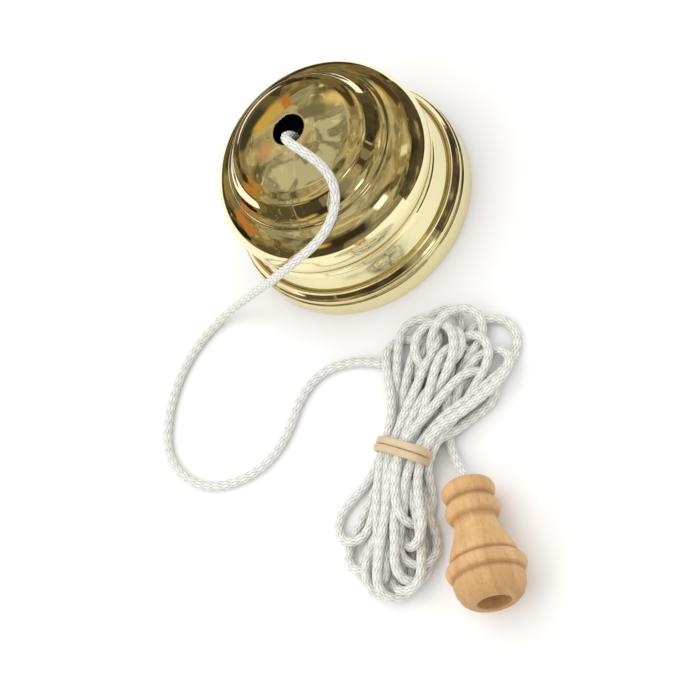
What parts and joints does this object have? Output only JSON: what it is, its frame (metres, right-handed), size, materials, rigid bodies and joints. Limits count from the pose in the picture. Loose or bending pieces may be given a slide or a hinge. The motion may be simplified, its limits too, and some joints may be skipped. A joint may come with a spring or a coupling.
{
  "type": "ceiling pull-cord switch",
  "caption": "Ceiling light switch: a polished stepped metal dome on a moulded ring, worked by a plaited cord that ends in a turned wooden pull.",
  "frame": {"origin": "centre of the ceiling face, in the plane of the base ring's lower edge", "axes": "+Z out of the ceiling face through the cord hole; +X along the two fixing slots; the loose cord lies towards -Y"},
  "size_m": [0.1398, 0.2077, 0.0634],
  "materials": {
    "polished_brass": "mirror-polished and lacquered",
    "polished_brass_ring": "mirror-polished and lacquered",
    "screw_brass": "plain brass, slotted",
    "terminal_brass": "machined",
    "spring_bronze": "rolled strip",
    "phenolic": "moulded black",
    "white_nylon": "moulded",
    "plated_steel": "zinc plated",
    "silver_contact": "turned silver face",
    "nylon_cord": "plaited glossy filament",
    "tan_rubber": "matt, plain",
    "pale_beech": "turned and sanded, unvarnished"
  },
  "bodies": {
    "housing": {"dome_cover": "polished_brass", "base_ring": "polished_brass_ring", "back_plate": "phenolic", "cover_screws": "screw_brass", "switch_body": "phenolic", "cord_guide_cap": "phenolic", "cap_screws": "plated_steel", "ratchet_axle": "plated_steel", "fixed_contact_live": "terminal_brass", "fixed_contact_switched": "terminal_brass", "fixed_contact_tips": "silver_contact", "terminal_live": "terminal_brass", "terminal_switched": "terminal_brass", "terminal_loop": "terminal_brass", "terminal_screws": "plated_steel", "earth_terminal": "terminal_brass", "earth_screw": "plated_steel", "cord_run": "nylon_cord", "cord_hank": "nylon_cord", "cord_tail": "nylon_cord", "rubber_band": "tan_rubber", "wooden_pull": "pale_beech", "pull_knot": "nylon_cord"},
    "plunger": {"plunger": "phenolic", "drive_pawl": "spring_bronze", "return_spring": "plated_steel", "cord_knot": "nylon_cord", "cord_inner": "nylon_cord"},
    "ratchet": {"ratchet_wheel": "spring_bronze", "switch_cam": "white_nylon"},
    "bridge": {"contact_bridge": "spring_bronze", "bridge_contact_tips": "silver_contact", "bridge_spring": "plated_steel"}
  },
  "joints": [
    {"name": "cord_pull", "type": "slide", "parent": "housing", "child": "plunger", "axis": [0, 0, 1], "range_m": [0, 0.007], "stiffness_N_per_m": 400, "springref_m": -0.004, "deforming": ["return_spring", "cord_inner"]},
    {"name": "ratchet_turn", "type": "hinge", "parent": "housing", "child": "ratchet", "pos_m": [0.0115, 0, 0.021], "axis": [0, 1, 0], "range_deg": [0, 45]},
    {"name": "bridge_drop", "type": "slide", "parent": "housing", "child": "bridge", "axis": [0, 0, -1], "range_m": [0, 0.0013], "deforming": ["bridge_spring"]}
  ],
  "couplings": [
    {"joint": "ratchet_turn", "follows": "cord_pull", "rad_per_m": 112.1},
    {"joint": "bridge_drop", "follows": "cord_pull", "ratio": 0.1857}
  ]
}
